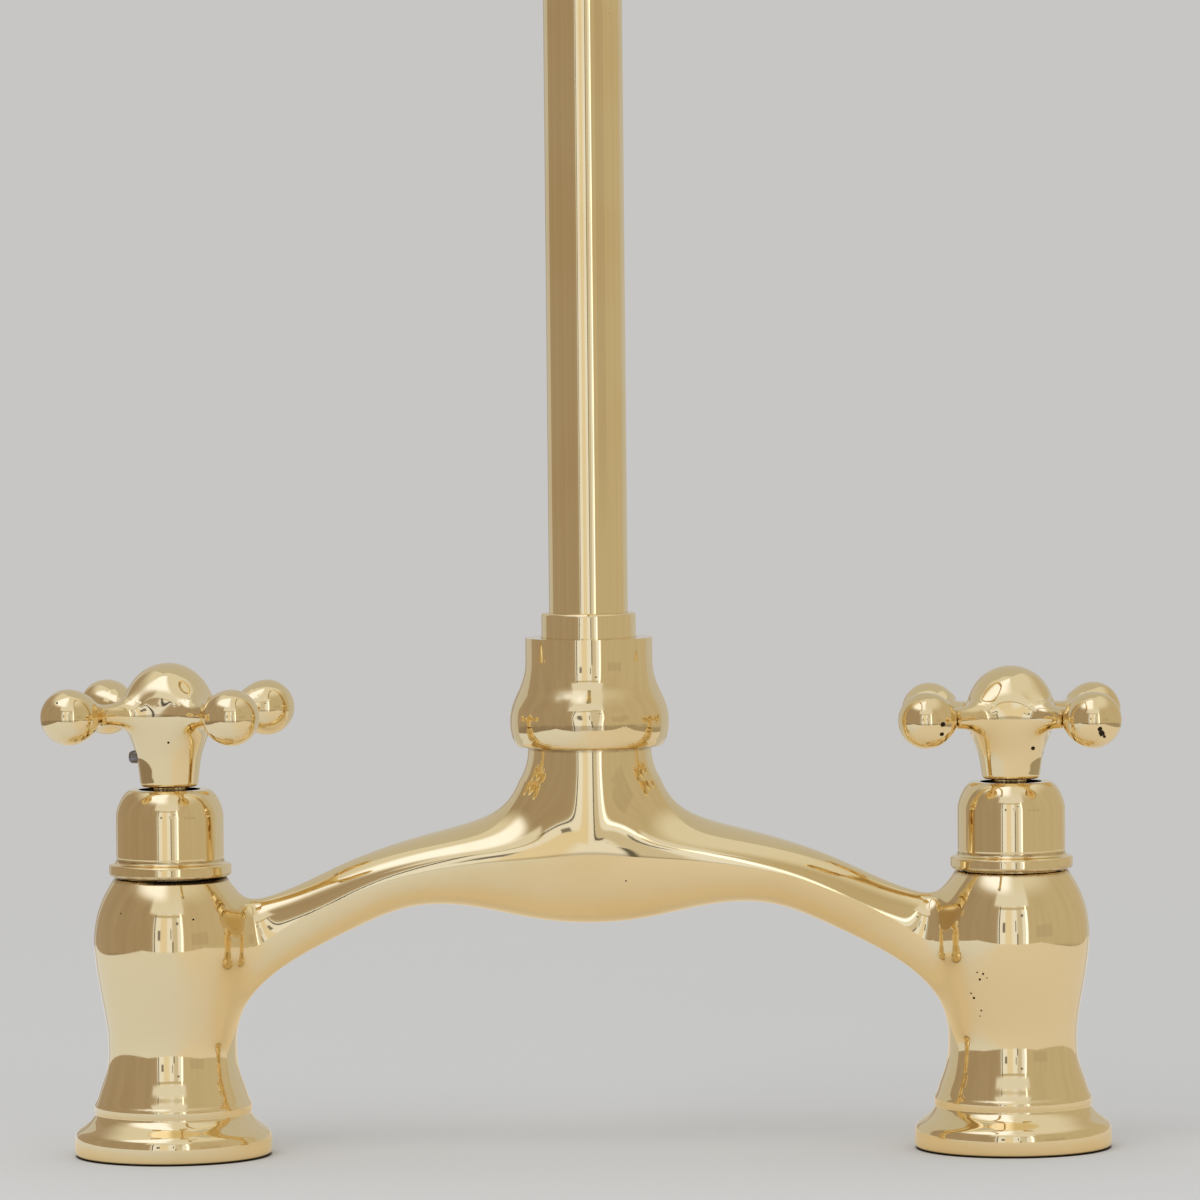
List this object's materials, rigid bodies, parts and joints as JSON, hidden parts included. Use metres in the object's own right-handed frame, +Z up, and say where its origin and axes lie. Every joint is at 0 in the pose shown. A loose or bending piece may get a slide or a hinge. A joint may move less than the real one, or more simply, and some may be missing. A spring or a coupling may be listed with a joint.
{
  "type": "bridge kitchen faucet",
  "caption": "Deck-mounted bridge kitchen tap in polished brass, with cross-handle pillar valves, an arched cast bridge and a tall swan-neck spout that swivels.",
  "frame": {"origin": "on the deck, midway between the two inlets", "axes": "+Z up, +X from the left pillar to the right one, -Y towards the user and the sink"},
  "size_m": [0.2605, 0.2216, 0.4045],
  "materials": {
    "polished_brass": "hand-polished cast and turned brass, unlacquered",
    "tube_brass": "polished drawn tube with faint lengthwise buffing lines",
    "machined_brass": "as machined",
    "grub_steel": "dark oxidised steel",
    "spring_steel": "spring steel",
    "mesh_steel": "woven stainless mesh",
    "ceramic": "lapped alumina ceramic",
    "rubber": "nitrile rubber",
    "ptfe": "low-friction PTFE",
    "nylon": "moulded acetal"
  },
  "bodies": {
    "root": {"bonnet_cap_left": "polished_brass", "bonnet_cap_right": "polished_brass", "bridge_casting": "polished_brass", "cartridge_body_left": "machined_brass", "cartridge_body_right": "machined_brass", "deck_seal_left": "rubber", "deck_seal_right": "rubber", "fixed_disc_left": "ceramic", "fixed_disc_right": "ceramic", "flange_seal_left": "rubber", "flange_seal_right": "rubber", "seat_seal_left": "rubber", "seat_seal_right": "rubber", "slip_washer": "ptfe", "swivel_nut": "polished_brass"},
    "handle_left": {"handle_left": "polished_brass", "spindle_left": "machined_brass", "moving_disc_left": "ceramic", "spindle_seals_left": "rubber", "circlip_left": "spring_steel", "thrust_washer_left": "ptfe", "grub_screw_left": "grub_steel"},
    "handle_right": {"handle_right": "polished_brass", "spindle_right": "machined_brass", "moving_disc_right": "ceramic", "spindle_seals_right": "rubber", "circlip_right": "spring_steel", "thrust_washer_right": "ptfe", "grub_screw_right": "grub_steel"},
    "spout": {"spout_tube": "tube_brass", "spout_spigot": "polished_brass", "spigot_seals": "rubber", "split_ring": "machined_brass", "outlet_sleeve": "polished_brass", "aerator_shell": "polished_brass", "aerator_insert": "nylon", "aerator_screen": "mesh_steel", "aerator_washer": "rubber"}
  },
  "joints": [
    {"name": "handle_left_turn", "type": "hinge", "parent": "root", "child": "handle_left", "pos_m": [-0.1015, 0, 0.09], "axis": [0, 0, 1], "range_deg": [0, 90]},
    {"name": "handle_right_turn", "type": "hinge", "parent": "root", "child": "handle_right", "pos_m": [0.1015, 0, 0.09], "axis": [0, 0, 1], "range_deg": [-90, 0]},
    {"name": "spout_swivel", "type": "hinge", "parent": "root", "child": "spout", "pos_m": [0, 0, 0.12], "axis": [0, 0, 1], "continuous": true}
  ]
}
